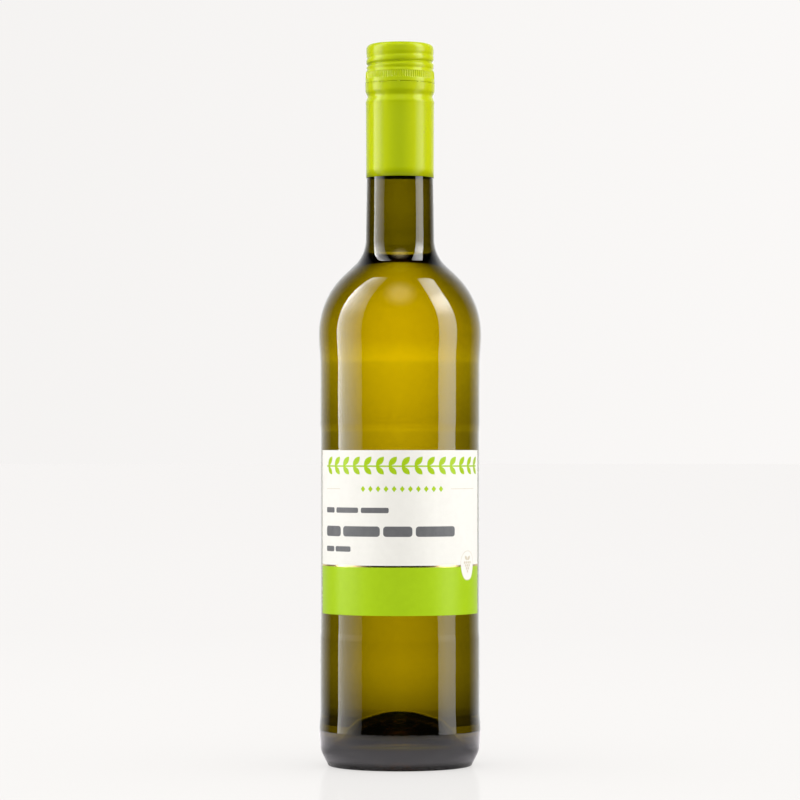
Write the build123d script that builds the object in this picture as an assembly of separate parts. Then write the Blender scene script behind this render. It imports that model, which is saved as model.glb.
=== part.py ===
from build123d import *
import math
import os

# A 750 ml wine bottle with a punt, its wine, a rolled aluminium screw cap and a wrap-round label.
# Millimetres. +Z is up, the origin is the centre of the ring that the bottle stands on, and the
# label faces -Y.

# Body of the bottle
BODY_R = 36.05            # outside radius of the plain body
WALL = 2.2                # body wall
PANEL_RECESS = 0.25       # how far the label panel is set back
PANEL_RAMP = 3.0          # height over which the panel sets back
PANEL_MARGIN = 8.6        # panel above and below the label
HEEL_BULGE = 0.5          # the contact bead above the heel stands this much proud
HEEL_FOOT_Z = 7.1         # where the heel starts to turn in under the bottle
HEEL_Z = 16.5             # height of the fullest point of that bead
HEEL_BEAD_TOP = 23.8      # where the bead runs back into the body
HEEL_FOOT_INSET = 0.1     # the heel's foot lies this far inside the plain body
HEEL_FOOT_ROUND = 10.0
HEEL_BEAD_ROUND = 25.0
HEEL_TOP_ROUND = 20.0
PANEL_ROUND = 10.0        # softens the panel's ramps
SHOULDER_BULGE = 0.69     # the shoulder stands this much proud of the body
SHOULDER_Z = 211.4        # height where the shoulder's slope would meet its radius
SHOULDER_RISE = 10.1      # height over which the body swells to the shoulder
SHOULDER_SWELL_DROP = 18.7  # the swell ends this far under SHOULDER_Z
SWELL_ROUND = 30.0
SHOULDER_SLOPE = 47.8     # degrees from vertical
SHOULDER_WALL = 2.7
SHOULDER_ROUND = 36.7     # outside radius of the shoulder's curve
NECK_ROUND = 16.5         # outside radius of the curve into the neck

# Base of the bottle
RING_INSET = 3.65         # the standing ring's outer edge lies this far inside the body
RING_WIDTH = 2.0
RING_OUTER_ROUND = 0.8
RING_INNER_ROUND = 0.5
PUNT_Z = 20.0             # underside of the punt's crown
PUNT_FOOT_INSET = 3.0     # from the standing ring to the foot of the punt's cone
PUNT_FOOT_Z = 2.2
PUNT_FOOT_ROUND = 3.0
PUNT_CROWN_R = 8.9        # where the cone would meet the flat of the crown
CROWN_THICKNESS = 5.5
CROWN_FLARE = 1.3         # the crown is this much wider on the wine's side
FLOOR_Z = 9.1             # lowest point of the wine, in the trough round the punt
TROUGH_WIDTH = 10.8
TROUGH_INNER_ROUND = 6.0
TROUGH_OUTER_ROUND = 7.0
CROWN_ROUND = 20.0        # radius that rounds the crown, inside and outside

# Neck and finish
NECK_R = 15.04            # outside radius of the neck at the cap's lower edge
NECK_TAPER = 0.0158       # radius lost for each millimetre of height
NECK_LENGTH = 95.2        # from the foot of the neck to the mouth
NECK_WALL = 4.7           # at the foot of the neck
BORE_R = 9.25             # at the mouth
FINISH_STEP = 0.95        # the finish under the cap is this much smaller than the neck
LOCK_RING_PROUD = 0.05    # the ring that the cap is rolled under, against the neck
LOCK_RING_ROUND = 0.5
LOCK_RING_ROOT_ROUND = 0.3
FINISH_ROUND = 0.4
LIP_ROUND = 1.4

# Screw cap
CAP_HEIGHT = 60.45
SHEET = 0.25
CAP_CLEARANCE = 0.06      # between the skirt's lower edge and the neck
SKIRT_FLARE = 0.11        # the skirt is this much wider at its top than at its lower edge
CAP_CORNER = 2.3
THREAD_INSET = 0.18       # the threaded part is this much smaller than the skirt's top
THREAD_PITCH = 3.175
THREAD_TURNS = 1.67
THREAD_START_ANGLE = 120  # degrees from +X
THREAD_START_DROP = 10.2  # the groove starts this far under the cap's top
THREAD_DEPTH = 0.85
THREAD_SECTION_R = 0.9
THREAD_FADE = 5.0         # degrees by which the groove leans outwards as it climbs, until it fades
TOP_GROOVE_DROP = 5.1
TOP_GROOVE_DEPTH = 0.22
TOP_GROOVE_WIDTH = 1.8
TOP_GROOVE_ROUND = 0.6
TOP_GROOVE_EDGE_ROUND = 0.4
RING_GROOVE_DROP = 11.5
RING_GROOVE_DEPTH = 0.6
RING_GROOVE_LEAD = 0.7    # the groove's upper side is this high
RING_GROOVE_ROUND = 0.3
KNURL_TOP_DROP = 12.55
KNURL_FOOT_DROP = 16.2
KNURL_FLARE = 0.17        # the knurled band is this much wider at its foot
KNURL_FOOT_ROUND = 1.0
TEAR_DROP = 18.0          # the line of slits where the cap breaks open
TEAR_SLIT = 0.25
TEAR_BRIDGES = 10
TEAR_BRIDGE_ANGLE = 5.0
TEAR_FIRST_BRIDGE = -3.0  # degrees right of the front
BAND_BULGE = 0.3          # the locking band stands this much proud of the skirt
BAND_RISE = 0.6           # the band begins this far above the slits
BAND_STRAIGHT = 0.9       # and starts to narrow this far under them
BAND_TAPER = 0.07
BAND_FOOT_DROP = 21.55
BAND_TOP_ROUND = 0.4
BAND_MIDDLE_ROUND = 0.6
BAND_FOOT_ROUND = 0.8
TUCK_DROP = 23.75         # the groove that is rolled in under the glass ring
TUCK_DEPTH = 0.84
TUCK_ROUND = 0.6
SKIRT_TOP_DROP = 26.4
SKIRT_LIP_PROUD = 0.2     # the skirt's top stands this much proud
SKIRT_LIP_HEIGHT = 1.2
SKIRT_LIP_ROUND = 0.4
SKIRT_ROUND = 1.5

# Wine
WINE_GAP = 0.05           # between the wine and the glass
FILL_ABOVE_CAP_EDGE = 3.5

# Label
LABEL_BOTTOM = 69.1
LABEL_HEIGHT = 73.4
LABEL_WIDTH = 95.1        # measured round the bottle
LABEL_THICKNESS = 0.12

# Roundings
ROUNDING_SHARE = 0.999    # two roundings take up no more than this share of the run between them
TINY = 1e-9

# Places worked out from the sizes above
slope_run = 1 / math.tan(math.radians(SHOULDER_SLOPE))  # height for each millimetre of radius
shoulder_r = BODY_R + SHOULDER_BULGE
panel_r = BODY_R - PANEL_RECESS
cavity_r = BODY_R - WALL
ring_outer_r = BODY_R - RING_INSET
ring_inner_r = ring_outer_r - RING_WIDTH
neck_length_below_cap = NECK_LENGTH + SHEET - CAP_HEIGHT
neck_foot_r = NECK_R + NECK_TAPER * neck_length_below_cap
neck_foot_z = SHOULDER_Z + (shoulder_r - neck_foot_r) * slope_run
mouth_z = neck_foot_z + NECK_LENGTH
cap_top_z = mouth_z + SHEET
cap_foot_z = cap_top_z - CAP_HEIGHT
skirt_foot_r = NECK_R + CAP_CLEARANCE + SHEET
skirt_r = skirt_foot_r + SKIRT_FLARE
thread_r = skirt_r - THREAD_INSET
finish_r = NECK_R - FINISH_STEP
fill_z = cap_foot_z + FILL_ABOVE_CAP_EDGE


def fitted_roundings(corners):
    """The corners' roundings, less where the run between two corners is too short for both."""
    points = [Vector(r, z) for r, z, _ in corners]
    runs = [end - start for start, end in zip(points, points[1:] + points[:1])]
    turns = [before.get_angle(after) for before, after in zip(runs[-1:] + runs[:-1], runs)]
    setbacks = [corner[2] * math.tan(math.radians(turn / 2)) for corner, turn in zip(corners, turns)]
    pairs = [here + there for here, there in zip(setbacks, setbacks[1:] + setbacks[:1])]
    shares = [min(1, ROUNDING_SHARE * run.length / max(pair, TINY)) for run, pair in zip(runs, pairs)]
    return [corner[2] * min(a, b) for corner, a, b in zip(corners, shares[-1:] + shares[:-1], shares)]


def turned(corners):
    """Revolve a closed outline of (radius, height, rounding) corners about the axis."""
    points = [(r, z) for r, z, _ in corners]
    outline = FilletPolyline(*points, radius=fitted_roundings(corners), close=True)
    return revolve(Plane.XZ * make_face(outline), Axis.Z)


def base_corners():
    """Underside, from the crown of the punt to the top of the contact bead."""
    return [
        (0, PUNT_Z, 0),
        (PUNT_CROWN_R, PUNT_Z, CROWN_ROUND),
        (ring_inner_r - PUNT_FOOT_INSET, PUNT_FOOT_Z, PUNT_FOOT_ROUND),
        (ring_inner_r, 0, RING_INNER_ROUND),
        (ring_outer_r, 0, RING_OUTER_ROUND),
        (BODY_R - HEEL_FOOT_INSET, HEEL_FOOT_Z, HEEL_FOOT_ROUND),
        (BODY_R + HEEL_BULGE, HEEL_Z, HEEL_BEAD_ROUND),
        (BODY_R, HEEL_BEAD_TOP, HEEL_TOP_ROUND),
    ]


def wall_corners():
    """Outside of the body, shoulder and neck, with the panel set back for the label."""
    panel_foot = LABEL_BOTTOM - PANEL_MARGIN
    panel_top = LABEL_BOTTOM + LABEL_HEIGHT + PANEL_MARGIN
    swell_top = SHOULDER_Z - SHOULDER_SWELL_DROP
    return [
        (BODY_R, panel_foot - PANEL_RAMP, PANEL_ROUND),
        (panel_r, panel_foot, PANEL_ROUND),
        (panel_r, panel_top, PANEL_ROUND),
        (BODY_R, panel_top + PANEL_RAMP, PANEL_ROUND),
        (BODY_R, swell_top - SHOULDER_RISE, SWELL_ROUND),
        (shoulder_r, swell_top, SWELL_ROUND),
        (shoulder_r, SHOULDER_Z, SHOULDER_ROUND),
        (neck_foot_r, neck_foot_z, NECK_ROUND),
    ]


def finish_corners():
    """Top of the neck, which the cap covers, with the ring that the cap is rolled under."""
    step_z = cap_top_z - SKIRT_TOP_DROP
    ring_z = cap_top_z - BAND_FOOT_DROP
    ring_top = cap_top_z - TEAR_DROP
    ring_r = NECK_R + LOCK_RING_PROUD
    slant = ring_r - finish_r
    step_r = neck_foot_r - NECK_TAPER * (step_z - neck_foot_z)
    return [
        (step_r, step_z, FINISH_ROUND),
        (finish_r, step_z + slant, FINISH_ROUND),
        (finish_r, ring_z - slant, LOCK_RING_ROOT_ROUND),
        (ring_r, ring_z, LOCK_RING_ROUND),
        (ring_r, ring_top, LOCK_RING_ROUND),
        (finish_r, ring_top + slant, LOCK_RING_ROOT_ROUND),
        (finish_r, mouth_z, LIP_ROUND),
    ]


def cavity_corners(gap):
    """Inside of the bottle, from the crown of the punt to the foot of the bore."""
    crown_z = PUNT_Z + CROWN_THICKNESS + gap
    floor_z = FLOOR_Z + gap
    wall_r = cavity_r - gap
    bore_r = neck_foot_r - NECK_WALL - gap
    # The inner slope is parallel to the outer one and lies a wall's thickness inside it.
    slope_inset = SHOULDER_WALL / math.cos(math.radians(SHOULDER_SLOPE)) + gap
    inner_slope_r = shoulder_r - slope_inset
    return [
        (0, crown_z, 0),
        (PUNT_CROWN_R + CROWN_FLARE, crown_z, CROWN_ROUND),
        (cavity_r - TROUGH_WIDTH, floor_z, TROUGH_INNER_ROUND),
        (wall_r, floor_z, TROUGH_OUTER_ROUND),
        (wall_r, SHOULDER_Z + (inner_slope_r - wall_r) * slope_run, SHOULDER_ROUND - WALL),
        (bore_r, SHOULDER_Z + (inner_slope_r - bore_r) * slope_run, NECK_ROUND + WALL),
    ]


def glass_bottle():
    inside = cavity_corners(0) + [(BORE_R, mouth_z, LIP_ROUND)]
    outside = base_corners() + wall_corners() + finish_corners()
    return turned(outside + inside[::-1])


def wine():
    """Fills the bottle to the level, which lies just under cover of the cap."""
    inside = cavity_corners(WINE_GAP)
    foot_r, foot_z, _ = inside[-1]
    narrowing = (foot_r - BORE_R + WINE_GAP) / (mouth_z - foot_z)
    level_r = foot_r - narrowing * (fill_z - foot_z)
    return turned(inside + [(level_r, fill_z, 0), (0, fill_z, 0)])


def cap_corners(inset):
    """Wall of the cap from its top centre to its lower edge, moved inwards by inset."""
    def at(drop, r, rounding):
        return (r - inset, cap_top_z - drop, rounding)

    half = TOP_GROOVE_WIDTH / 2
    return [
        (0, cap_top_z - inset, 0),
        at(inset, thread_r, CAP_CORNER - inset),
        at(TOP_GROOVE_DROP - half, thread_r, TOP_GROOVE_EDGE_ROUND),
        at(TOP_GROOVE_DROP, thread_r - TOP_GROOVE_DEPTH, TOP_GROOVE_ROUND),
        at(TOP_GROOVE_DROP + half, thread_r, TOP_GROOVE_EDGE_ROUND),
        at(RING_GROOVE_DROP - RING_GROOVE_LEAD, thread_r, RING_GROOVE_ROUND),
        at(RING_GROOVE_DROP, skirt_r - RING_GROOVE_DEPTH, RING_GROOVE_ROUND),
        at(KNURL_TOP_DROP, skirt_r, RING_GROOVE_ROUND),
        at(KNURL_FOOT_DROP, skirt_r + KNURL_FLARE, KNURL_FOOT_ROUND),
        at(TEAR_DROP - BAND_RISE, skirt_r + BAND_BULGE, BAND_TOP_ROUND),
        at(TEAR_DROP + BAND_STRAIGHT, skirt_r + BAND_BULGE, BAND_MIDDLE_ROUND),
        at(BAND_FOOT_DROP, skirt_r + BAND_BULGE - BAND_TAPER, BAND_FOOT_ROUND),
        at(TUCK_DROP, skirt_r - TUCK_DEPTH, TUCK_ROUND),
        at(SKIRT_TOP_DROP, skirt_r + SKIRT_LIP_PROUD, SKIRT_LIP_ROUND),
        at(SKIRT_TOP_DROP + SKIRT_LIP_HEIGHT, skirt_r, SKIRT_ROUND),
        at(CAP_HEIGHT, skirt_foot_r, 0),
    ]


def cap_thread(sheet):
    """Round bar on the thread's helix, fattened by the sheet to form the thread's inner face."""
    centre_r = thread_r + THREAD_SECTION_R - THREAD_DEPTH
    start = (0, 0, cap_top_z - THREAD_START_DROP)
    path = Helix(THREAD_PITCH, THREAD_PITCH * THREAD_TURNS, centre_r, start, cone_angle=THREAD_FADE)
    section = Plane(path @ 0, z_dir=path % 0) * Circle(THREAD_SECTION_R + sheet)
    thread = sweep(section, path, is_frenet=True)
    return thread.rotate(Axis.Z, THREAD_START_ANGLE)


def tear_slits():
    """Slits round the cap, parted by the bridges that break when it is first opened."""
    pitch = 360 / TEAR_BRIDGES
    section = Location((skirt_r, cap_top_z - TEAR_DROP)) * Rectangle(4 * SHEET + 2 * BAND_BULGE, TEAR_SLIT)
    slit = revolve(Plane.XZ * section, Axis.Z, pitch - TEAR_BRIDGE_ANGLE)
    first = -90 + TEAR_FIRST_BRIDGE + TEAR_BRIDGE_ANGLE / 2
    return [slit.rotate(Axis.Z, first + n * pitch) for n in range(TEAR_BRIDGES)]


def screw_cap():
    """Outer form less the hollow, both with the thread, so the thread is formed in the sheet."""
    body = turned(cap_corners(0) + [(0, cap_foot_z, 0)]) - cap_thread(0)
    hollow = turned(cap_corners(SHEET) + [(0, cap_foot_z, 0)]) - cap_thread(SHEET)
    return body - hollow - tear_slits()


def label():
    """Paper on the panel, centred on the front."""
    span = math.degrees(LABEL_WIDTH / panel_r)
    middle = (panel_r + LABEL_THICKNESS / 2, LABEL_BOTTOM + LABEL_HEIGHT / 2)
    section = Plane.XZ * Location(middle) * Rectangle(LABEL_THICKNESS, LABEL_HEIGHT)
    return revolve(section, Axis.Z, span).rotate(Axis.Z, -90 - span / 2)


os.makedirs("parts", exist_ok=True)
for node in (glass_bottle, wine, screw_cap, label):
    shape = node()
    export_step(shape, f"parts/{node.__name__}.step")
    box = shape.bounding_box()
    print(f"{node.__name__}: {shape.volume / 1000:.2f} cm3, z {box.min.Z:.2f} to {box.max.Z:.2f}")
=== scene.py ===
import math

import bpy
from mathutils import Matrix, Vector, geometry


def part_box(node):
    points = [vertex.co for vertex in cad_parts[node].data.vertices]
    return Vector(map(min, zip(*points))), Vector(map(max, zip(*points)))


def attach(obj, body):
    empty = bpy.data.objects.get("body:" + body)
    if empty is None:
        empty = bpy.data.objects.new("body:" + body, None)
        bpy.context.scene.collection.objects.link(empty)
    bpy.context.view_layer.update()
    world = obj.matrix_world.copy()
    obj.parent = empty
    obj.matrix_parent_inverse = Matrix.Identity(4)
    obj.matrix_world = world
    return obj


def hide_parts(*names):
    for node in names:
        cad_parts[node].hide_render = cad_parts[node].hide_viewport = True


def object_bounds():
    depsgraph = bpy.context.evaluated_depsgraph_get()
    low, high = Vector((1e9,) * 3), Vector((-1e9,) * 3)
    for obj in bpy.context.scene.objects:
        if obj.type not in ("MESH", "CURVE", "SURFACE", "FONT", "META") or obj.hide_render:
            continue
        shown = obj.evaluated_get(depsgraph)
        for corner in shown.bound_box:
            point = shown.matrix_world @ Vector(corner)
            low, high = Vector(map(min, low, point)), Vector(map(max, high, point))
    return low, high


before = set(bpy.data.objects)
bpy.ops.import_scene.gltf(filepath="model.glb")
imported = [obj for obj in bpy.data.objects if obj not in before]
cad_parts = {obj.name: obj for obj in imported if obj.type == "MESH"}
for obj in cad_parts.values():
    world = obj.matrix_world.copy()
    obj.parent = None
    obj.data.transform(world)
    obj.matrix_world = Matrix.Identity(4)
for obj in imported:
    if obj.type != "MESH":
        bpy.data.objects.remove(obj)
cad_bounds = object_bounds()

# Sizes are in metres, angles in degrees. The bottle stands on z = 0 and its label faces -Y.
# Azimuths are measured from the front, -Y, towards the right, +X.

# Camera
CAMERA_DISTANCE = 1.575
CAMERA_HEIGHT = 0.44      # share of the bottle's height
CAMERA_LENS = 156.6       # mm
CAMERA_SENSOR = 36        # mm
CAMERA_SHIFT = 0.06

# Meshes
TURNS = 240               # steps round a turned piece
CURVE_STEPS = 4           # steps along each curved span of the wine's packed profile
GLASS_STEPS = 3           # and of the glass's
CURVED_FROM = 0.3         # turn along a chord, in degrees, from which it counts as curved
SHORT_CHORD = 0.0003      # chords up to this length stay straight
END_TURN = (0.35, 0.65)   # share of the turn beside it that marks the end of an arc
NEAR = 1e-6
WINE_REACH = 0.00015      # how far the wine reaches into the glass
LEVEL_EDGE = 0.00002      # width of the ring that keeps the wine's upper edge crisp
LEVEL_TIP = 0.0002        # radius of the innermost ring of its surface

# Glass and wine: the share of red, green and blue that passes, and the strength for each metre.
IOR_GLASS = 1.52
IOR_WINE = 1.34
GLASS_PASSES = (0.885, 0.872, 0.12)
GLASS_DENSITY = 1810.0
GLASS_WAVES = 45.0        # waves for each metre of the glass
GLASS_WAVE_HEIGHT = 0.00001
WINE_PASSES = (0.985, 0.912, 0.55)
WINE_DENSITY = 60.0


# ---------------------------------------------------------------- small helpers

def azimuth_point(radius, azimuth, z):
    """Point at an azimuth in radians from the front, towards the right."""
    return Vector((radius * math.sin(azimuth), -radius * math.cos(azimuth), z))


def smoothstep(low, high, x):
    t = min(max((x - low) / (high - low), 0.0), 1.0)
    return t * t * (3 - 2 * t)


def mesh_piece(name, verts, faces, materials, face_slots=None, normals=None):
    """Adds a smooth-shaded mesh with one material slot for each material."""
    mesh = bpy.data.meshes.new(name)
    mesh.from_pydata(verts, [], faces)
    for material in materials:
        mesh.materials.append(material)
    mesh.polygons.foreach_set("use_smooth", [True] * len(faces))
    if face_slots is not None:
        mesh.polygons.foreach_set("material_index", face_slots)
    mesh.update()
    if normals is not None:
        mesh.normals_split_custom_set_from_vertices(normals)
    piece = bpy.data.objects.new(name, mesh)
    bpy.context.scene.collection.objects.link(piece)
    return piece


# ---------------------------------------------------------------- turned pieces

def packed_profile(node):
    """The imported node's outline at azimuth +X as (r, z) points, from its lowest axis point on."""
    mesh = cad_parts[node].data
    seam = {}
    index = {}
    for v in mesh.vertices:
        if abs(v.co.y) < NEAR and v.co.x > -NEAR:
            index[v.index] = seam.setdefault((round(v.co.x, 6), round(v.co.z, 6)), len(seam))
    links = {n: set() for n in seam.values()}
    for edge in mesh.edges:
        a, b = (index.get(n) for n in edge.vertices)
        if a is not None and b is not None and a != b:
            links[a].add(b)
            links[b].add(a)
    points = list(seam)
    ends = sorted((n for n in links if len(links[n]) == 1), key=lambda n: points[n][1])
    chain = [ends[0]]
    seen = set(chain)
    while True:
        ahead = [n for n in links[chain[-1]] if n not in seen]
        if not ahead:
            break
        chain.append(ahead[0])
        seen.add(ahead[0])
    return [points[n] for n in chain]


def smooth_profile(points, steps):
    """Rounds a chain of chords back into arcs: returns (r, z, tangent) along it.

    A chord of an arc turns by twice as much at its inner ends as where the arc meets a straight
    run, which is how the two are told apart."""
    p = [Vector(q) for q in points]
    way = [(b - a).normalized() for a, b in zip(p, p[1:])]
    turn = [0.0] + [way[i].angle(way[i + 1]) for i in range(len(way) - 1)] + [0.0]

    def half_of(i, j):
        return END_TURN[0] * turn[j] < turn[i] < END_TURN[1] * turn[j]

    tangents = [way[0]]
    for i in range(1, len(p) - 1):
        if half_of(i, i + 1) and not half_of(i, i - 1):
            tangents.append(way[i - 1])
        elif half_of(i, i - 1):
            tangents.append(way[i])
        else:
            tangents.append((way[i - 1] + way[i]).normalized())
    tangents.append(way[-1])
    out = []
    for i in range(len(p) - 1):
        length = (p[i + 1] - p[i]).length
        curved = tangents[i].angle(tangents[i + 1]) > math.radians(CURVED_FROM)
        n = steps if curved and length > SHORT_CHORD else 1
        for k in range(n):
            t = k / n
            # The cubic through both ends along their tangents, and its slope.
            h00, h10 = 2 * t**3 - 3 * t**2 + 1, t**3 - 2 * t**2 + t
            h01, h11 = -2 * t**3 + 3 * t**2, t**3 - t**2
            d00, d10 = 6 * t**2 - 6 * t, 3 * t**2 - 4 * t + 1
            d11 = 3 * t**2 - 2 * t
            m0, m1 = tangents[i] * length, tangents[i + 1] * length
            q = h00 * p[i] + h10 * m0 + h01 * p[i + 1] + h11 * m1
            d = d00 * p[i] + d10 * m0 - d00 * p[i + 1] + d11 * m1
            out.append((q.x, q.y, d.normalized()))
    out.append((p[-1].x, p[-1].y, tangents[-1]))
    return out


def turned_piece(name, profile, materials, turns=TURNS):
    """Turns a profile of (r, z, tangent) about the axis and closes it with a point at each end.

    The profile runs with the solid on its left, so a tangent's right is the outward normal."""
    verts, normals, faces = [], [], []
    for r, z, tangent in profile:
        for k in range(turns):
            a = 2 * math.pi * k / turns
            verts.append((r * math.cos(a), r * math.sin(a), z))
            normals.append((tangent.y * math.cos(a), tangent.y * math.sin(a), -tangent.x))
    for i in range(len(profile) - 1):
        for k in range(turns):
            here, there = i * turns, (i + 1) * turns
            after = (k + 1) % turns
            faces.append((here + k, here + after, there + after, there + k))
    for i, up in ((0, False), (len(profile) - 1, True)):
        tip = len(verts)
        verts.append((0, 0, profile[i][1]))
        normals.append((0, 0, 1 if up else -1))
        for k in range(turns):
            pair = (i * turns + k, i * turns + (k + 1) % turns)
            faces.append((tip, *(pair if up else pair[::-1])))
    return mesh_piece(name, verts, faces, materials, None, normals)


# ---------------------------------------------------------------- materials

def new_material(name):
    material = bpy.data.materials.new(name)
    material.use_nodes = True
    tree = material.node_tree
    return material, tree, tree.nodes["Principled BSDF"]


def add_node(tree, kind, **inputs):
    node = tree.nodes.new(kind)
    for key, value in inputs.items():
        node.inputs[key.replace("_", " ")].default_value = value
    return node


def noise(tree, scale, detail=3.0, roughness=0.55):
    """Noise in the object's own metres."""
    place = tree.nodes.new("ShaderNodeTexCoord")
    texture = add_node(tree, "ShaderNodeTexNoise", Scale=scale, Detail=detail, Roughness=roughness)
    tree.links.new(place.outputs["Object"], texture.inputs["Vector"])
    return texture.outputs["Fac"]


def remap(tree, value, low, high, to_low, to_high):
    node = add_node(tree, "ShaderNodeMapRange", From_Min=low, From_Max=high, To_Min=to_low, To_Max=to_high)
    tree.links.new(value, node.inputs["Value"])
    return node.outputs["Result"]


def math_node(tree, operation, first, second=None):
    node = tree.nodes.new("ShaderNodeMath")
    node.operation = operation
    for socket, value in zip(node.inputs, (first, second)):
        if isinstance(value, (int, float)):
            socket.default_value = value
        elif value is not None:
            tree.links.new(value, socket)
    return node.outputs["Value"]


def ramp(tree, value, stops, blend="LINEAR"):
    """Looks value up in a few (position, level) stops."""
    first, last = stops[0][0], stops[-1][0]
    peak = max(level for _, level in stops)
    node = tree.nodes.new("ShaderNodeValToRGB")
    node.color_ramp.interpolation = blend
    tree.links.new(remap(tree, value, first, last, 0, 1), node.inputs["Fac"])
    marks = node.color_ramp.elements
    while len(marks) > 1:
        marks.remove(marks[-1])
    for n, (position, level) in enumerate(stops):
        place = (position - first) / (last - first)
        stop = marks[0] if n == 0 else marks.new(place)
        stop.position = place
        stop.color = (level / peak, level / peak, level / peak, 1)
    return math_node(tree, "MULTIPLY", node.outputs["Color"], peak)


def two_colours(tree, value, first, second):
    node = tree.nodes.new("ShaderNodeMix")
    node.data_type = "RGBA"
    tree.links.new(value, node.inputs["Factor"])
    node.inputs[6].default_value = (*first, 1)
    node.inputs[7].default_value = (*second, 1)
    return node.outputs[2]


def bump(tree, shader, height, distance, strength=1.0):
    node = add_node(tree, "ShaderNodeBump", Strength=strength, Distance=distance)
    tree.links.new(height, node.inputs["Height"])
    tree.links.new(node.outputs["Normal"], shader.inputs["Normal"])


def clear_material(name, ior, passed, density, wave_height=0.0):
    """Glass or liquid that lets less and less but the passed colour through with depth."""
    material, tree, shader = new_material(name)
    shader.inputs["Base Color"].default_value = (1, 1, 1, 1)
    shader.inputs["Roughness"].default_value = 0.0
    shader.inputs["IOR"].default_value = ior
    shader.inputs["Transmission Weight"].default_value = 1.0
    volume = add_node(tree, "ShaderNodeVolumeAbsorption", Density=density)
    volume.inputs["Color"].default_value = (*passed, 1)
    tree.links.new(volume.outputs["Volume"], tree.nodes["Material Output"].inputs["Volume"])
    if wave_height:
        bump(tree, shader, noise(tree, GLASS_WAVES, 1.0), wave_height)
    return material


def glass_material():
    return clear_material("bottle_glass", IOR_GLASS, GLASS_PASSES, GLASS_DENSITY, GLASS_WAVE_HEIGHT)


def wine_material():
    return clear_material("white_wine", IOR_WINE, WINE_PASSES, WINE_DENSITY)


# ---------------------------------------------------------------- the bottle and the wine

def make_glass():
    profile = smooth_profile(packed_profile("glass_bottle"), GLASS_STEPS)
    piece = turned_piece("glass_bottle_clear", profile, [glass_material()])
    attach(piece, "root")
    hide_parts("glass_bottle")


def make_wine():
    """The wine, grown a little into the wall. Passing its surface and then the glass's bends light
    as one step from glass to wine would."""
    level_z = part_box("wine")[1][2]
    profile = smooth_profile(packed_profile("wine"), CURVE_STEPS)
    wall = [(r + WINE_REACH * t.y, z - WINE_REACH * t.x, t) for r, z, t in profile if z < level_z - NEAR]
    rim = wall[-1][0]
    wall.append((rim, level_z, Vector((0, 1))))
    level = [(r, level_z, Vector((-1, 0))) for r in (rim - LEVEL_EDGE, rim / 2, LEVEL_TIP)]
    piece = turned_piece("wine_fill", wall + level, [wine_material()])
    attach(piece, "root")
    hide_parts("wine")


# ---------------------------------------------------------------- the cap

CAP_TURNS = 540
CAP_CORNER_STEPS = 8
CAP_FOOT_R = 0.01535      # outside radius of its lower edge
SHEET = 0.00025
INNER_EVERY = 4           # the inside keeps every so many rings of the outside
INNER_INSET = 1.6         # and lies this many sheets further in
DETAIL_FOOT = 20.0        # mm under the top: thread, knurls and slits lie above this
CAP_FINE_STEP = 0.2       # mm between the rings down to there
CAP_STEP = 0.3            # and from there to the plain skirt
TEAR_STEP = 0.085         # and at the slits
CAP_CORNER = 2.3          # mm, rounding of its top edge
# The wall of the cap: distance under its top and radius against the skirt's top, in mm.
CAP_WALL = [
    (0.0, -0.18), (4.2, -0.18), (5.1, -0.40), (6.0, -0.18), (10.8, -0.18), (11.5, -0.60), (12.55, 0.0),
    (16.2, 0.17), (17.4, 0.30), (18.9, 0.30), (21.55, 0.23), (23.75, -0.84), (26.4, 0.20), (27.6, 0.0),
]
SKIRT_FLARE = 0.11        # mm by which the skirt narrows to its lower edge
THREAD_PITCH = 3.175      # mm
THREAD_START_DROP = 9.7   # mm under the top, at the left
THREAD_END = 360 * 1.5    # degrees along the thread
THREAD_EASE = 60          # degrees in which it runs in and out
THREAD_OVERRUN = 20       # degrees by which that passes its ends
THREAD_FADE = 0.78        # share of its depth that it loses on the way
THREAD_DEPTH = 0.85       # mm
THREAD_WIDTH = 0.90       # mm
KNURL_RIDGES = 90
KNURL_TOP, KNURL_FOOT = 12.8, 16.2   # mm under the top
KNURL_TOP_EASE, KNURL_FOOT_EASE = 0.4, 0.5   # mm in which they rise and end
KNURL_DEPTH = 0.25        # mm
TEAR_DROP = 18.0          # mm
TEAR_HALF_WIDTH = 0.175   # mm
TEAR_DEPTH = 0.45         # mm
TEAR_BRIDGES = 10
TEAR_BRIDGE_ANGLE = 5.0
TEAR_BRIDGE_EASE = 0.5    # degrees either side of a bridge's edge
TEAR_FIRST_BRIDGE = -3.0
CORNER_REACH = 0.45       # mm either side over which the wall's corners are averaged


def rounded_wall():
    """The cap's wall as (drop, radius offset) in mm, close enough for its corners to be round."""
    skirt_length = 1000 * (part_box("screw_cap")[1][2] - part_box("screw_cap")[0][2])
    corners = CAP_WALL + [(skirt_length, -SKIRT_FLARE)]
    plain_drop = CAP_WALL[-1][0]
    fine = [CAP_FINE_STEP * k for k in range(round(DETAIL_FOOT / CAP_FINE_STEP))]
    fine += [DETAIL_FOOT + CAP_STEP * k for k in range(math.ceil((plain_drop - DETAIL_FOOT) / CAP_STEP))]
    fine += [TEAR_DROP + TEAR_STEP * k for k in range(-3, 4)]
    coarse = [plain_drop + (skirt_length - plain_drop) * k / 8 for k in range(9)]
    drops = sorted(set(round(d, 3) for d in fine + coarse))

    def straight(d):
        for (d0, r0), (d1, r1) in zip(corners, corners[1:]):
            if d <= d1:
                return r0 + (r1 - r0) * (d - d0) / (d1 - d0)
        return corners[-1][1]

    wall = []
    for d in drops:
        # Averaging over a small window rounds the corners.
        reach = min(CORNER_REACH, d, skirt_length - d)
        samples = [straight(d + reach * k / 4) for k in range(-4, 5)]
        wall.append((d, sum(samples) / len(samples)))
    return wall


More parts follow.
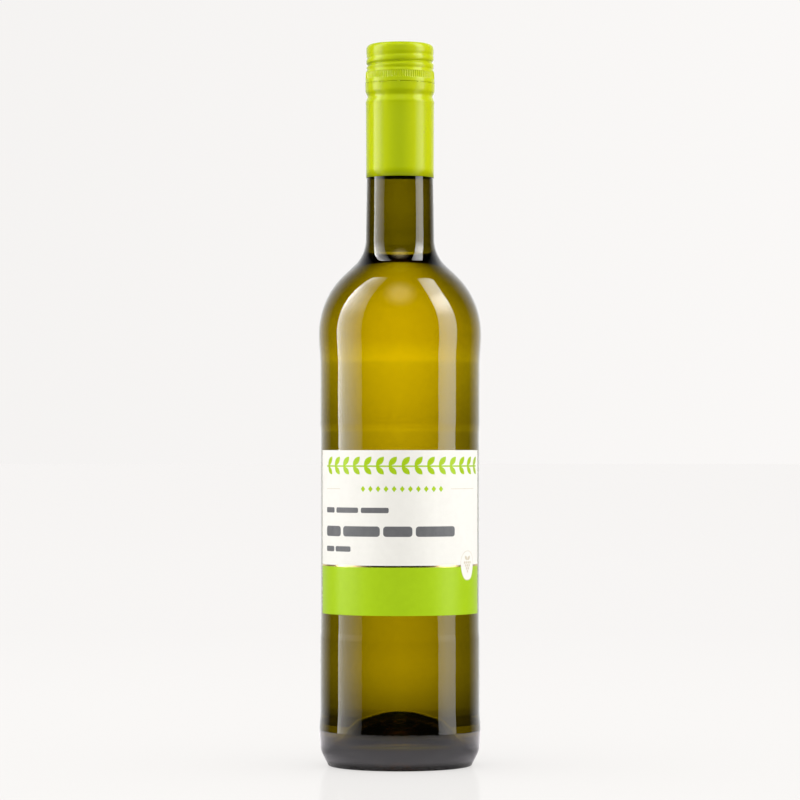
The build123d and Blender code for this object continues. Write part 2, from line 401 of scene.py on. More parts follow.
def thread_depth(azimuth, drop):
    """How far the right-hand thread is rolled in, in mm, at an azimuth in degrees from the left."""
    depth = 0.0
    for turn in range(-1, 3):
        along = azimuth + 360 * turn
        start = smoothstep(-THREAD_EASE, THREAD_OVERRUN, along)
        fade = 1 - THREAD_FADE * smoothstep(THREAD_EASE, THREAD_END, along)
        end = 1 - smoothstep(THREAD_END - THREAD_EASE, THREAD_END + THREAD_OVERRUN, along)
        off = drop - (THREAD_START_DROP - THREAD_PITCH * along / 360)
        depth = max(depth, THREAD_DEPTH * start * fade * end * math.exp(-(off / THREAD_WIDTH) ** 2 * 2))
    return depth


def tear_depth(from_front, drop):
    off = abs(drop - TEAR_DROP)
    if off > TEAR_HALF_WIDTH:
        return 0.0
    pitch = 360 / TEAR_BRIDGES
    from_bridge = abs((from_front - TEAR_FIRST_BRIDGE + pitch / 2) % pitch - pitch / 2)
    edge = TEAR_BRIDGE_ANGLE / 2
    return TEAR_DEPTH * smoothstep(edge - TEAR_BRIDGE_EASE, edge + TEAR_BRIDGE_EASE, from_bridge)


def knurl_depth(from_front, drop):
    rise = smoothstep(KNURL_TOP, KNURL_TOP + KNURL_TOP_EASE, drop)
    band = rise * (1 - smoothstep(KNURL_FOOT - KNURL_FOOT_EASE, KNURL_FOOT, drop))
    wave = 0.5 - 0.5 * math.cos(math.radians(KNURL_RIDGES * from_front))
    return KNURL_DEPTH * band * wave


def lacquer_material():
    material, tree, shader = new_material("lime_lacquer")
    grain = noise(tree, 900.0, 2.0)
    colour = two_colours(tree, grain, (0.345, 0.435, 0.001), (0.36, 0.455, 0.001))
    tree.links.new(colour, shader.inputs["Base Color"])
    tree.links.new(remap(tree, grain, 0.3, 0.7, 0.15, 0.2), shader.inputs["Roughness"])
    shader.inputs["Metallic"].default_value = 0.0
    shader.inputs["Specular IOR Level"].default_value = 0.17
    bump(tree, shader, grain, 0.00001)
    return material


def make_cap():
    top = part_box("screw_cap")[1][2]
    skirt_r = 1000 * CAP_FOOT_R + SKIRT_FLARE
    verts, faces = [], []
    top_r = skirt_r + CAP_WALL[0][1]
    corner = CAP_CORNER
    rings = []
    for share in (0.25, 0.5, 0.75):
        rings.append([(share * (top_r - corner), 0.0)] * CAP_TURNS)
    for k in range(CAP_CORNER_STEPS + 1):
        a = math.pi / 2 * k / CAP_CORNER_STEPS
        rings.append([(top_r - corner * (1 - math.sin(a)), corner * (1 - math.cos(a)))] * CAP_TURNS)
    for drop, offset in rounded_wall():
        if drop <= corner:
            continue
        ring = []
        for k in range(CAP_TURNS):
            right = 360 * k / CAP_TURNS
            r = skirt_r + offset
            if drop < DETAIL_FOOT:
                r -= thread_depth((right + 90) % 360, drop)
                r -= tear_depth(right, drop) + knurl_depth(right, drop)
            ring.append((r, drop))
        rings.append(ring)
    # The inside of the sheet follows the outside on fewer rings, without its knurls.
    outer = [ring for ring in rings if ring[0][1] > corner]
    inner = outer[::-INNER_EVERY] + [rings[3]]
    for n, ring in enumerate(inner):
        mean = sum(r for r, _ in ring) / CAP_TURNS
        inset = 1000 * SHEET * (1 if n == 0 else INNER_INSET)
        drop = ring[0][1] if n < len(inner) - 1 else 1000 * SHEET
        rings.append([(min(r, mean) - inset, drop) for r, _ in ring])
    for ring in rings:
        for k, (r, drop) in enumerate(ring):
            verts.append(azimuth_point(r / 1000, 2 * math.pi * k / CAP_TURNS, top - drop / 1000))
    for i in range(len(rings) - 1):
        for k in range(CAP_TURNS):
            after = (k + 1) % CAP_TURNS
            here, there = i * CAP_TURNS, (i + 1) * CAP_TURNS
            faces.append((here + k, there + k, there + after, here + after))
    for i, z in ((0, top), (len(rings) - 1, top - SHEET)):
        tip = len(verts)
        verts.append((0, 0, z))
        for k in range(CAP_TURNS):
            pair = (i * CAP_TURNS + k, i * CAP_TURNS + (k + 1) % CAP_TURNS)
            faces.append((tip, *(pair if i == 0 else pair[::-1])))
    piece = mesh_piece("rolled_cap", verts, faces, [lacquer_material()])
    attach(piece, "root")
    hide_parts("screw_cap")


# ---------------------------------------------------------------- the label

LABEL_WIDTH = 95.1        # mm, measured round the bottle
LABEL_THICKNESS = 0.00012
LABEL_COLUMNS = 95
PRINT_TOLERANCE = 1e-5    # mm within which points of the print are one
PAPER, GREEN, GOLD, GREY, BEIGE = range(5)
BAR_ROUND = 0.6           # share of a bar's half height that its corners are rounded by

# The print, in mm from the label's centre and foot.
GREEN_BAND = 21.4
GOLD_LINE = 0.8
STEM_LEFT, STEM_RIGHT, STEM_Y, STEM_HALF = -41.0, 44.5, 66.3, 0.35
LEAVES, LEAF_FROM, LEAF_PITCH, LEAF_OFF = 15, -39.5, 5.75, 0.2
UPPER_LEAF = (5.4, 2.7, 48)          # length, width and lean
LOWER_LEAF = (5.0, 2.5, -44)
LOZENGES, LOZENGE_FROM, LOZENGE_PITCH = 11, -17.0, 3.6
LOZENGE_Y, LOZENGE_HALF_WIDTH, LOZENGE_HALF_HEIGHT = 56.2, 1.1, 1.4
SIDE_LINES = ((-41.0, -30.0), (24.5, 41.5))
SIDE_LINE_HALF = 0.1
GREY_ROWS = (                        # foot, top and the ends of the bars
    (45.5, 47.9, ((-41.0, -34.0), (-32.6, -19.5), (-18.1, -5.0))),
    (35.0, 39.6, ((-41.0, -29.5), (-28.0, -9.0), (-7.5, 5.5), (7.0, 26.7))),
    (28.2, 30.6, ((-41.0, -34.2), (-33.2, -23.6))),
)
SHIELD_X, SHIELD_TOP, SHIELD_WIDTH, SHIELD_HEIGHT = 35.7, 28.4, 10.2, 13.0
SHIELD_RIM = (0.12, -0.1)            # how far its rim's edges lie outside it
SHIELD_POINT_GROWTH = 1.3
SHIELD_FLANK = (0.75, 1.15)          # how full its flanks are, and how soon they fall
GRAPE_DROP, GRAPE_ROW, GRAPE_PITCH, GRAPE_R = 5.2, 1.3, 1.5, 0.62
GRAPE_LEAF_DROP = 4.1
GRAPE_LEAVES = ((2.8, 1.5, 40), (2.8, 1.5, 140))


def print_material(name, first, second, roughness, metallic=0.0, fibres=0.000012, gloss=0.3):
    material, tree, shader = new_material(name)
    mottle = noise(tree, 350.0, 4.0)
    fine = noise(tree, 2600.0, 2.0)
    tree.links.new(two_colours(tree, remap(tree, mottle, 0.3, 0.7, 0, 1), first, second),
                   shader.inputs["Base Color"])
    tree.links.new(remap(tree, fine, 0.3, 0.7, roughness - 0.05, roughness + 0.05),
                   shader.inputs["Roughness"])
    shader.inputs["Metallic"].default_value = metallic
    shader.inputs["Specular IOR Level"].default_value = gloss
    bump(tree, shader, fine, fibres)
    return material


def label_materials():
    return [
        print_material("label_paper", (0.80, 0.78, 0.725), (0.825, 0.805, 0.75), 0.6),
        print_material("label_green", (0.355, 0.55, 0.001), (0.375, 0.575, 0.002), 0.33, gloss=0.2),
        print_material("label_gold", (0.72, 0.55, 0.25), (0.80, 0.62, 0.30), 0.25, 1.0, 0.000003, 0.5),
        print_material("label_grey", (0.12, 0.12, 0.125), (0.145, 0.145, 0.15), 0.5),
        print_material("label_beige", (0.60, 0.53, 0.40), (0.66, 0.59, 0.45), 0.45),
    ]


def rounded_bar(x0, x1, y0, y1, steps=4):
    """Outline of a bar with rounded corners, anticlockwise."""
    r = min(y1 - y0, x1 - x0) / 2 * BAR_ROUND
    out = []
    corners = ((x1 - r, y0 + r, -90), (x1 - r, y1 - r, 0), (x0 + r, y1 - r, 90), (x0 + r, y0 + r, 180))
    for cx, cy, start in corners:
        for k in range(steps + 1):
            a = math.radians(start + 90 * k / steps)
            out.append((cx + r * math.cos(a), cy + r * math.sin(a)))
    return out


def leaf(x, y, length, width, lean, steps=8):
    """A pointed leaf from its stalk at (x, y), leaning from the level by an angle in degrees."""
    out = []
    c, s = math.cos(math.radians(lean)), math.sin(math.radians(lean))
    for side in (-1, 1):
        for k in range(steps):
            t = k / steps if side < 0 else 1 - k / steps
            u, v = length * t, side * width / 2 * math.sin(math.pi * t) ** 0.8
            out.append((x + u * c - v * s, y + u * s + v * c))
    return out


def disc(x, y, r, steps=14):
    return [(x + r * math.cos(2 * math.pi * k / steps), y + r * math.sin(2 * math.pi * k / steps))
            for k in range(steps)]


def drop_shape(x, top, width, height, grow=0.0, steps=12):
    """A round-topped shield with a point below."""
    w = width / 2 + grow
    shoulder = top - width / 2
    foot = top - height - grow * SHIELD_POINT_GROWTH
    fullness, fall = SHIELD_FLANK

    def flank(side, k):
        a = math.pi / 2 * k / steps
        return (x + side * w * math.cos(a) ** fullness, shoulder + (foot - shoulder) * math.sin(a) ** fall)

    out = []
    for k in range(steps + 1):
        a = math.pi * k / steps
        out.append((x + w * math.cos(a), shoulder + w * math.sin(a)))
    left = [flank(-1, k) for k in range(1, steps)]
    right = [flank(1, k) for k in range(steps - 1, 0, -1)]
    return out + left + [(x, foot)] + right


def label_print(width):
    """Fields of the print as (slot, outline), later ones over earlier ones. x runs to the right from
    the label's centre and y up from its foot, in mm."""
    half = width / 2
    gold_top = GREEN_BAND + GOLD_LINE
    fields = [
        (GREEN, [(-half, 0), (half, 0), (half, GREEN_BAND), (-half, GREEN_BAND)]),
        (GOLD, [(-half, GREEN_BAND), (half, GREEN_BAND), (half, gold_top), (-half, gold_top)]),
    ]
    # A garland across the top: a stem with a leaf above and a leaf below it at each step.
    fields.append((GREEN, rounded_bar(STEM_LEFT, STEM_RIGHT, STEM_Y - STEM_HALF, STEM_Y + STEM_HALF)))
    for n in range(LEAVES):
        x = LEAF_FROM + LEAF_PITCH * n
        fields.append((GREEN, leaf(x, STEM_Y + LEAF_OFF, *UPPER_LEAF)))
        fields.append((GREEN, leaf(x, STEM_Y - LEAF_OFF, *LOWER_LEAF)))
    # A short row of lozenges between two thin lines.
    for n in range(LOZENGES):
        x = LOZENGE_FROM + LOZENGE_PITCH * n
        fields.append((GREEN, [
            (x - LOZENGE_HALF_WIDTH, LOZENGE_Y), (x, LOZENGE_Y - LOZENGE_HALF_HEIGHT),
            (x + LOZENGE_HALF_WIDTH, LOZENGE_Y), (x, LOZENGE_Y + LOZENGE_HALF_HEIGHT),
        ]))
    for left, right in SIDE_LINES:
        foot, top = LOZENGE_Y - SIDE_LINE_HALF, LOZENGE_Y + SIDE_LINE_HALF
        fields.append((BEIGE, rounded_bar(left, right, foot, top)))
    # Three rows of grey bars, ragged to the right.
    for foot, top, bars in GREY_ROWS:
        for left, right in bars:
            fields.append((GREY, rounded_bar(left, right, foot, top)))
    # A shield with a bunch of grapes and two leaves.
    for slot, grow in zip((BEIGE, PAPER), SHIELD_RIM):
        fields.append((slot, drop_shape(SHIELD_X, SHIELD_TOP, SHIELD_WIDTH, SHIELD_HEIGHT, grow)))
    for row, count in enumerate((4, 3, 2, 1)):
        for n in range(count):
            x = SHIELD_X + GRAPE_PITCH * (n - (count - 1) / 2)
            fields.append((BEIGE, disc(x, SHIELD_TOP - GRAPE_DROP - GRAPE_ROW * row, GRAPE_R)))
    for sizes in GRAPE_LEAVES:
        fields.append((BEIGE, leaf(SHIELD_X, SHIELD_TOP - GRAPE_LEAF_DROP, *sizes)))
    return fields


def make_label():
    low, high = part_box("label")
    outer_r = -low[1]
    inner_r = outer_r - LABEL_THICKNESS
    half_angle = LABEL_WIDTH / 1000 / inner_r / 2
    width, height = LABEL_WIDTH, 1000 * (high[2] - low[2])
    outline = [(-width / 2, 0), (width / 2, 0), (width / 2, height), (-width / 2, height)]
    fields = [(PAPER, outline)] + label_print(width)
    points, edges, loops = [], [], []
    for _, loop in fields:
        start = len(points)
        points += [Vector(q) for q in loop]
        loops.append(list(range(start, len(points))))
    for n in range(1, LABEL_COLUMNS):
        x = -width / 2 + width * n / LABEL_COLUMNS
        points += [Vector((x, 0)), Vector((x, height))]
        edges.append((len(points) - 2, len(points) - 1))
    verts2, _, faces2, _, _, owners = geometry.delaunay_2d_cdt(points, edges, loops, 2, PRINT_TOLERANCE, True)
    slots = [fields[max(own)][0] if own else PAPER for own in owners]
    verts, faces, face_slots = [], [], []
    first, second, third = (verts2[n] for n in faces2[0][:3])
    turned = -1 if (second - first).cross(third - first) < 0 else 1
    for r in (outer_r, inner_r):
        for v in verts2:
            verts.append(azimuth_point(r, 2 * half_angle * v.x / width, low[2] + v.y / 1000))
    count = len(verts2)
    seen = {}
    for face, slot in zip(faces2, slots):
        face = tuple(face)[::turned]
        faces.append(face)
        face_slots.append(slot)
        for a, b in zip(face, face[1:] + face[:1]):
            seen[(a, b)] = slot
    for face in list(faces):
        faces.append(tuple(count + v for v in face[::-1]))
        face_slots.append(PAPER)
    for a, b in seen:
        if (b, a) not in seen:
            faces.append((b, a, a + count, b + count))
            face_slots.append(PAPER)
    piece = mesh_piece("wrap_label", verts, faces, label_materials(), face_slots)
    piece.data.polygons.foreach_set("use_smooth", [False] * len(faces))
    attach(piece, "root")
    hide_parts("label")


# ---------------------------------------------------------------- studio

ROOM_LIGHT = 1.6          # from above, for matt surfaces
FLOOR_BOUNCE = 0.42       # and from the floor
FLOOR_THROUGH_GLASS = 0.4
NEAR_FLOOR = 0.2          # radius of the part that the glass mirrors
FAR_FLOOR = 30.0
OVERHEAD_LIGHT = 3.0
FLOOR_MIRROR = 0.1        # share of its look that mirrors the bottle
FLOOR_SHADOW = 0.3        # and share that is lit and shaded
FLOOR_LEVEL = -0.0002
FLOOR_BASE = (0.60, 0.59, 0.58)
# Painted light: what the eye sees of the floor glows, brighter close to the bottle than far off.
FLOOR_NEAR, FLOOR_FAR = (0.962, 0.945, 0.928), (0.915, 0.897, 0.886)
FLOOR_PALING = (0.1, 1.2, 0, 1)       # distances between which the one turns into the other
# The table as the bottle's glass mirrors it, a glow with painted light and shade: close to the base brightest
# in front, dimmer beside and behind it, and faint under the base's edge. Fours hold two distances and the
# levels there.
FLOOR_IN_GLASS = 1.65
FLOOR_IN_GLASS_COLOUR = (0.99, 0.94, 0.975)
FLOOR_UNDER_BASE = (0.0345, 0.0366, 0.15, 1)
FLOOR_CLOSE_FRONT = (-0.034, 0.0, 1, 0.42)
FLOOR_ASIDE = (-0.15, -0.02, 0.36, 0.9)
FLOOR_CLOSE = (0.05, 0.12, 1, 0)
# The world: fours hold two shares of a direction's length and the levels there.
WALL_BEHIND = (0.5, 0.95, 0.01, 1.15)
WALL_TOP = (0.45, 0.8, 1, 0)
WALL_FOOT = (-0.25, -0.08, 0.3, 1)
BACKDROP = (1.0, 0.983, 0.97)
# Painted light: the backdrop that the eye sees is a little brighter to the right.
BACKDROP_LEVEL = (-0.11, 0.11, 0.915, 0.955)
ROOM_THROUGH_GLASS = 0.1
OVERHEAD_COLOUR = (1, 0.82, 0.46, 1)
OVERHEAD_TILT = 57        # degrees above the level
OVERHEAD_SIZE = 0.64      # half its width
OVERHEAD_DISTANCE = 1.4
OVERHEAD_AIM = 0.2        # height that it faces
FILL_WIDTH, FILL_HEIGHT = 0.35, 0.9
FILL_DISTANCE = 0.7
FILL_AIM = 0.35           # height of its middle
SOFTBOX_RADIUS = 0.45
SOFTBOX_STEPS, SOFTBOX_LIFTS = 16, 12
# Rows of inner azimuth, outer azimuth, inner height and outer height, then the brightness from the
# inner to the outer edge, and the brightness by height.
SOFTBOX_LEFT = [(-54.2, -96.8, -0.2, -0.2), (-54.2, -98, 0.68, 0.68), (-55.5, -99, 0.95, 0.76),
                (-60, -101, 1.45, 0.88), (-73, -104, 2.3, 1.1)]
LEFT_ACROSS = [(0, 0.75), (0.3, 1.85), (0.64, 3.6), (0.8, 5.2), (0.93, 7.5), (1, 9.2)]
LEFT_LEVELS = [(-0.2, 0.66), (0.04, 0.56), (0.15, 1.05), (0.32, 1.08), (0.5, 1.95), (0.58, 1.9),
               (0.9, 1.0), (2.3, 0.8)]
SOFTBOX_RIGHT = [(54.8, 83.8, -0.2, -0.2), (54.8, 86, 0.6, 0.6), (57, 90, 0.8, 0.69),
                 (63, 97, 1.15, 0.8), (79, 108, 1.65, 0.92)]
RIGHT_ACROSS = [(0, 3.0), (0.5, 4.2), (1, 4.1)]
RIGHT_LEVELS = [(-0.2, 0.72), (0.04, 0.62), (0.15, 1.0), (0.32, 1.2), (0.5, 3.0), (0.56, 3.1),
                (0.72, 1.8), (1.65, 0.8)]
GLOW_RADIUS = 0.12
GLOW_WIDTH = 0.0178
GLOW_NECK_WIDTH = 0.045
GLOW_NECK = (0.222, 0.242)            # heights between which it widens
GLOW_FRONT = (-0.06, 0.03, 0.4, 1)    # from this far in front to this far behind, dim to full
GLOW_SIDES = ((0.0, 0.42), (0.1, 0.42), (0.15, 0.36), (0.185, 0.56), (0.22, 0.62), (0.36, 0.6))
GLOW_LEVELS = (
    (0.0, 0.08), (0.01, 0.25), (0.02, 0.57), (0.028, 0.78), (0.04, 1.12), (0.055, 0.86), (0.10, 0.9),
    (0.13, 1.05), (0.148, 1.2), (0.16, 1.52), (0.17, 1.68), (0.18, 1.77), (0.187, 2.17), (0.195, 2.4),
    (0.21, 2.3), (0.222, 1.25), (0.232, 0.68), (0.25, 0.92), (0.262, 1.25), (0.28, 0.9), (0.30, 0.4),
    (0.36, 0.3),
)


def make_camera():
    height = cad_bounds[1][2]
    camera = bpy.data.objects.new("camera", bpy.data.cameras.new("camera"))
    camera.data.lens = CAMERA_LENS
    camera.data.sensor_width = CAMERA_SENSOR
    camera.data.shift_y = CAMERA_SHIFT
    camera.data.clip_end = 100
    camera.location = (0, -CAMERA_DISTANCE, CAMERA_HEIGHT * height)
    camera.rotation_euler = (math.radians(90), 0, 0)
    bpy.context.scene.collection.objects.link(camera)
    bpy.context.scene.camera = camera


def stage_mesh(name, verts, faces, material):
    mesh = bpy.data.meshes.new(name)
    mesh.from_pydata(verts, [], faces)
    mesh.materials.append(material)
    thing = bpy.data.objects.new(name, mesh)
    bpy.context.scene.collection.objects.link(thing)
    return thing


def glowing(name, strength):
    material = bpy.data.materials.new(name)
    material.use_nodes = True
    tree = material.node_tree
    tree.nodes.clear()
    output = tree.nodes.new("ShaderNodeOutputMaterial")
    emission = add_node(tree, "ShaderNodeEmission", Strength=strength)
    tree.links.new(emission.outputs["Emission"], output.inputs["Surface"])
    return material, tree, emission


def hide_light(box):
    """Leaves a light to be seen in reflections only."""
    box.visible_camera = False
    box.visible_transmission = False
    box.visible_diffuse = False


def softbox(name, rows, across, levels):
    """A tall curved softbox round the bottle.

    rows hold (inner azimuth, outer azimuth, inner height, outer height); across and levels are the
    brightness from its inner to its outer edge and from its foot to its top."""
    material, tree, emission = glowing(name, 0.0)
    place = tree.nodes.new("ShaderNodeUVMap")
    uv = tree.nodes.new("ShaderNodeSeparateXYZ")
    tree.links.new(place.outputs["UV"], uv.inputs["Vector"])
    where = tree.nodes.new("ShaderNodeTexCoord")
    at = tree.nodes.new("ShaderNodeSeparateXYZ")
    tree.links.new(where.outputs["Object"], at.inputs["Vector"])
    wide = ramp(tree, uv.outputs["X"], across)
    tall = ramp(tree, at.outputs["Z"], levels, "EASE")
    tree.links.new(math_node(tree, "MULTIPLY", wide, tall), emission.inputs["Strength"])
    steps, lifts = SOFTBOX_STEPS, SOFTBOX_LIFTS
    verts, faces, places = [], [], []
    for (in0, out0, low0, high0), (in1, out1, low1, high1) in zip(rows, rows[1:]):
        start = len(verts)
        for j in range(lifts + 1):
            t = j / lifts
            for k in range(steps + 1):
                u = k / steps
                a0, a1 = in0 + (out0 - in0) * u, in1 + (out1 - in1) * u
                z0, z1 = low0 + (high0 - low0) * u, low1 + (high1 - low1) * u
                azimuth = math.radians(a0 + (a1 - a0) * t)
                verts.append(azimuth_point(SOFTBOX_RADIUS, azimuth, z0 + (z1 - z0) * t))
                places.append((u, t))
        for j in range(lifts):
            for k in range(steps):
                here = start + j * (steps + 1) + k
                faces.append((here, here + 1, here + steps + 2, here + steps + 1))
    box = stage_mesh(name, verts, faces, material)
    layer = box.data.uv_layers.new()
    for loop in box.data.loops:
        layer.data[loop.index].uv = places[loop.vertex_index]
    hide_light(box)


def overhead_light():
    """A soft patch of light above the camera, fading to nothing at its edge."""
    material, tree, emission = glowing("overhead", 0.0)
    emission.inputs["Color"].default_value = OVERHEAD_COLOUR
    place = tree.nodes.new("ShaderNodeTexCoord")
    centred = add_node(tree, "ShaderNodeMapping")
    centred.inputs["Location"].default_value = (-1, -1, 0)
    centred.inputs["Scale"].default_value = (2, 2, 0)
    tree.links.new(place.outputs["UV"], centred.inputs["Vector"])
    fade = tree.nodes.new("ShaderNodeTexGradient")
    fade.gradient_type = "QUADRATIC_SPHERE"
    tree.links.new(centred.outputs["Vector"], fade.inputs["Vector"])
    tree.links.new(remap(tree, fade.outputs["Fac"], 0, 0.5, 0, OVERHEAD_LIGHT), emission.inputs["Strength"])
    tilt = math.radians(OVERHEAD_TILT)
    toward = Vector((0, -math.cos(tilt), math.sin(tilt)))
    centre = Vector((0, 0, OVERHEAD_AIM)) + OVERHEAD_DISTANCE * toward
    up = Vector((0, math.sin(tilt), math.cos(tilt)))
    across = Vector((1, 0, 0))
    corners = ((-1, -1), (1, -1), (1, 1), (-1, 1))
    verts = [centre + OVERHEAD_SIZE * (i * across + j * up) for i, j in corners]
    box = stage_mesh("overhead_light", verts, [(0, 1, 2, 3)], material)
    layer = box.data.uv_layers.new()
    for loop, (i, j) in zip(layer.data, corners):
        loop.uv = ((i + 1) / 2, (j + 1) / 2)
    hide_light(box)


def side_fill(name, azimuth, piece, watts, colour=(1, 1, 1)):
    """A side light on one piece only, kept off the floor."""
    lit = bpy.data.collections.new(name)
    lit.objects.link(bpy.data.objects[piece])
    light = bpy.data.lights.new(name, "AREA")
    light.shape = "RECTANGLE"
    light.size, light.size_y = FILL_WIDTH, FILL_HEIGHT
    light.energy = watts
    light.color = colour
    lamp = bpy.data.objects.new(name, light)
    lamp.location = azimuth_point(FILL_DISTANCE, math.radians(azimuth), FILL_AIM)
    lamp.rotation_euler = (math.radians(90), 0, math.radians(azimuth))
    bpy.context.scene.collection.objects.link(lamp)
    lamp.light_linking.receiver_collection = lit
    lamp.visible_glossy = False
    lamp.visible_transmission = False


def glow_wall():
    """The lit card behind the bottle, which only what shows through the glass can see."""
    material, tree, emission = glowing("glow", 0.0)
    place = tree.nodes.new("ShaderNodeTexCoord")
    split = tree.nodes.new("ShaderNodeSeparateXYZ")
    tree.links.new(place.outputs["Object"], split.inputs["Vector"])
    height = ramp(tree, split.outputs["Z"], GLOW_LEVELS, "B_SPLINE")
    narrow = remap(tree, split.outputs["Z"], *GLOW_NECK, 1 / GLOW_WIDTH, 1 / GLOW_NECK_WIDTH)
    middle = math_node(tree, "MULTIPLY", split.outputs["X"], narrow)
    square = math_node(tree, "MULTIPLY", middle, middle)
    fall = math_node(tree, "EXPONENT", math_node(tree, "MULTIPLY", square, -1.0))
    side = ramp(tree, split.outputs["Z"], GLOW_SIDES)
    across = math_node(tree, "MULTIPLY", math_node(tree, "SUBTRACT", 1.0, fall), side)
    across = math_node(tree, "ADD", across, fall)
    behind = remap(tree, split.outputs["Y"], *GLOW_FRONT)
    level = math_node(tree, "MULTIPLY", height, math_node(tree, "MULTIPLY", across, behind))
    tree.links.new(level, emission.inputs["Strength"])
    steps = 48
    verts, faces = [], []
    for k in range(steps):
        a = 2 * math.pi * k / steps
        verts += [azimuth_point(GLOW_RADIUS, a, 0), azimuth_point(GLOW_RADIUS, a, GLOW_LEVELS[-1][0])]
    for k in range(steps):
        here, there = 2 * k, 2 * ((k + 1) % steps)
        faces.append((here, there, there + 1, here + 1))
    show_through_glass(stage_mesh("glow_wall", verts, faces, material))
    material.cycles.emission_sampling = "NONE"


def show_through_glass(thing):
    """Leaves a thing to be seen through glass only."""
    thing.visible_camera = False
    thing.visible_glossy = False
    thing.visible_diffuse = False
    thing.visible_shadow = False


def baffle(name, z, inner_r, level):
    """A level ring round the bottle, which keeps what slants up or down through the glass from
    reaching the bright parts of the glow wall."""
    material, _, _ = glowing(name, level)
    material.cycles.emission_sampling = "NONE"
    steps = 64
    verts = [azimuth_point(r, 2 * math.pi * k / steps, z)
             for r in (inner_r, 0.99 * GLOW_RADIUS) for k in range(steps)]
    faces = [(k, (k + 1) % steps, steps + (k + 1) % steps, steps + k) for k in range(steps)]
    show_through_glass(stage_mesh(name, verts, faces, material))


def blend_shaders(tree, share, first, second):
    node = tree.nodes.new("ShaderNodeMixShader")
    if isinstance(share, float):
        node.inputs["Fac"].default_value = share
    else:
        tree.links.new(share, node.inputs["Fac"])
    tree.links.new(first, node.inputs[1])
    tree.links.new(second, node.inputs[2])
    return node.outputs["Shader"]


def make_floor():
    material, tree, shader = new_material("floor")
    shader.inputs["Base Color"].default_value = (*FLOOR_BASE, 1)
    shader.inputs["Roughness"].default_value = 0.6
    shader.inputs["Specular IOR Level"].default_value = 0.0
    path = tree.nodes.new("ShaderNodeLightPath")
    # Painted light: for the eye the floor is mostly a glow, brighter close to the bottle than far off, over a
    # little mirror and some real shading.
    even = add_node(tree, "ShaderNodeEmission", Strength=1.0)
    mirror = add_node(tree, "ShaderNodeBsdfGlossy", Roughness=0.12)
    mirror.inputs["Color"].default_value = (1, 0.985, 0.97, 1)
    seen = blend_shaders(tree, FLOOR_MIRROR, even.outputs["Emission"], mirror.outputs["BSDF"])
    seen = blend_shaders(tree, FLOOR_SHADOW, seen, shader.outputs["BSDF"])
    lit = blend_shaders(tree, path.outputs["Is Camera Ray"], shader.outputs["BSDF"], seen)
    place = tree.nodes.new("ShaderNodeTexCoord")
    reach = tree.nodes.new("ShaderNodeVectorMath")
    reach.operation = "LENGTH"
    tree.links.new(place.outputs["Object"], reach.inputs[0])
    paling = remap(tree, reach.outputs["Value"], *FLOOR_PALING)
    tree.links.new(two_colours(tree, paling, FLOOR_NEAR, FLOOR_FAR), even.inputs["Color"])
    below = add_node(tree, "ShaderNodeEmission", Strength=FLOOR_BOUNCE)
    lit = blend_shaders(tree, path.outputs["Is Diffuse Ray"], lit, below.outputs["Emission"])
    through = add_node(tree, "ShaderNodeEmission", Strength=FLOOR_THROUGH_GLASS)
    lit = blend_shaders(tree, path.outputs["Is Transmission Ray"], lit, through.outputs["Emission"])
    # Painted light and shade: the floor that the glass mirrors glows brightest close in front, dimmer beside
    # and behind the base, and only faintly under the base's edge, where its real shading shows.
    outside = remap(tree, reach.outputs["Value"], *FLOOR_UNDER_BASE)
    # Rays bent by clear glass count as glossy too, so only those that are turned back are taken.
    glossy, back = path.outputs["Is Glossy Ray"], path.outputs["Is Reflection Ray"]
    turned_back = math_node(tree, "MULTIPLY", glossy, back)
    mirrored = math_node(tree, "MULTIPLY", outside, turned_back)
    bright = add_node(tree, "ShaderNodeEmission")
    bright.inputs["Color"].default_value = (*FLOOR_IN_GLASS_COLOUR, 1)
    split = tree.nodes.new("ShaderNodeSeparateXYZ")
    tree.links.new(place.outputs["Object"], split.inputs["Vector"])
    front = remap(tree, split.outputs["Y"], *FLOOR_CLOSE_FRONT)
    aside = remap(tree, split.outputs["Y"], *FLOOR_ASIDE)
    near = remap(tree, reach.outputs["Value"], *FLOOR_CLOSE)
    level = math_node(tree, "MULTIPLY", near, math_node(tree, "SUBTRACT", front, aside))
    level = math_node(tree, "ADD", aside, level)
    tree.links.new(math_node(tree, "MULTIPLY", level, FLOOR_IN_GLASS), bright.inputs["Strength"])
    lit = blend_shaders(tree, mirrored, lit, bright.outputs["Emission"])
    tree.links.new(lit, tree.nodes["Material Output"].inputs["Surface"])
    steps = 64
    rings = (NEAR_FLOOR, FAR_FLOOR)
    verts = [azimuth_point(r, 2 * math.pi * k / steps, FLOOR_LEVEL) for r in rings for k in range(steps)]
    stage_mesh("near_floor", verts[:steps], [tuple(range(steps))], material)
    ring = [(k, (k + 1) % steps, steps + (k + 1) % steps, steps + k) for k in range(steps)]
    far = stage_mesh("far_floor", verts, ring, material)
    far.visible_glossy = False
    far.visible_transmission = False


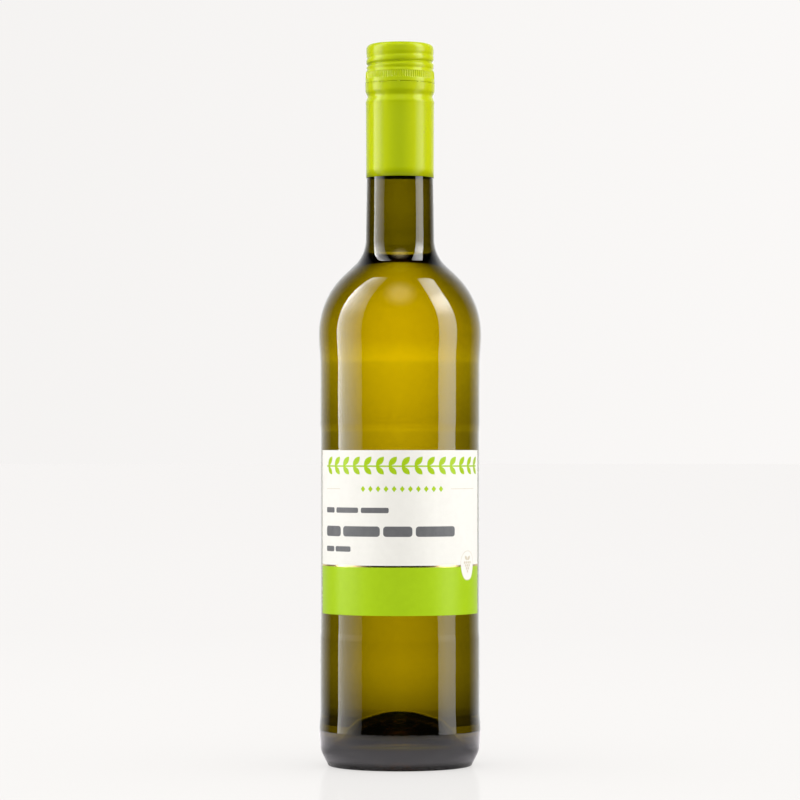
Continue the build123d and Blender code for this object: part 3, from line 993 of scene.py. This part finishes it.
def make_world():
    """A pale backdrop for the eye, a dark room with a white wall behind the bottle for reflections,
    an even light for matt surfaces and a dim room for what shows through glass."""
    world = bpy.data.worlds.new("studio")
    bpy.context.scene.world = world
    world.use_nodes = True
    tree = world.node_tree
    tree.nodes.clear()
    output = tree.nodes.new("ShaderNodeOutputWorld")
    path = tree.nodes.new("ShaderNodeLightPath")
    place = tree.nodes.new("ShaderNodeTexCoord")
    split = tree.nodes.new("ShaderNodeSeparateXYZ")
    tree.links.new(place.outputs["Generated"], split.inputs["Vector"])

    def background(colour, strength):
        node = tree.nodes.new("ShaderNodeBackground")
        node.inputs["Color"].default_value = (*colour, 1)
        if isinstance(strength, float):
            node.inputs["Strength"].default_value = strength
        else:
            tree.links.new(strength, node.inputs["Strength"])
        return node.outputs["Background"]

    squares = [math_node(tree, "MULTIPLY", split.outputs[n], split.outputs[n]) for n in ("X", "Y")]
    across = math_node(tree, "SQRT", math_node(tree, "ADD", *squares))
    behind = remap(tree, math_node(tree, "DIVIDE", split.outputs["Y"], across), *WALL_BEHIND)
    behind = math_node(tree, "MULTIPLY", behind, remap(tree, split.outputs["Z"], *WALL_TOP))
    # Painted light: the backdrop is a little brighter to the right.
    pale = background(BACKDROP, remap(tree, split.outputs["X"], *BACKDROP_LEVEL))
    room = background((1.0, 1.0, 1.0), ROOM_LIGHT)
    level_on = remap(tree, split.outputs["Z"], *WALL_FOOT)
    mirrored = background((1.0, 1.0, 1.0), math_node(tree, "MULTIPLY", behind, level_on))
    through = background((1.0, 1.0, 1.0), ROOM_THROUGH_GLASS)
    lit = blend_shaders(tree, path.outputs["Is Diffuse Ray"], mirrored, room)
    lit = blend_shaders(tree, path.outputs["Is Transmission Ray"], lit, through)
    lit = blend_shaders(tree, path.outputs["Is Camera Ray"], lit, pale)
    tree.links.new(lit, output.inputs["Surface"])


bpy.context.scene.view_settings.view_transform = "Standard"
make_camera()
make_floor()
make_world()
softbox("softbox_left", SOFTBOX_LEFT, LEFT_ACROSS, LEFT_LEVELS)
softbox("softbox_right", SOFTBOX_RIGHT, RIGHT_ACROSS, RIGHT_LEVELS)
glow_wall()
baffle("label_baffle", 0.1, 0.0375, 0.0)
baffle("neck_baffle", 0.2285, 0.0197, 0.6)
overhead_light()
make_glass()
make_wine()
make_cap()
make_label()
side_fill("label_fill_left", -75, "wrap_label", 5.0)
side_fill("label_fill_right", 75, "wrap_label", 5.0)
side_fill("cap_fill_left", -80, "rolled_cap", 28.0, (1, 0.8, 1))
side_fill("cap_fill_right", 80, "rolled_cap", 14.0, (1, 0.75, 1))
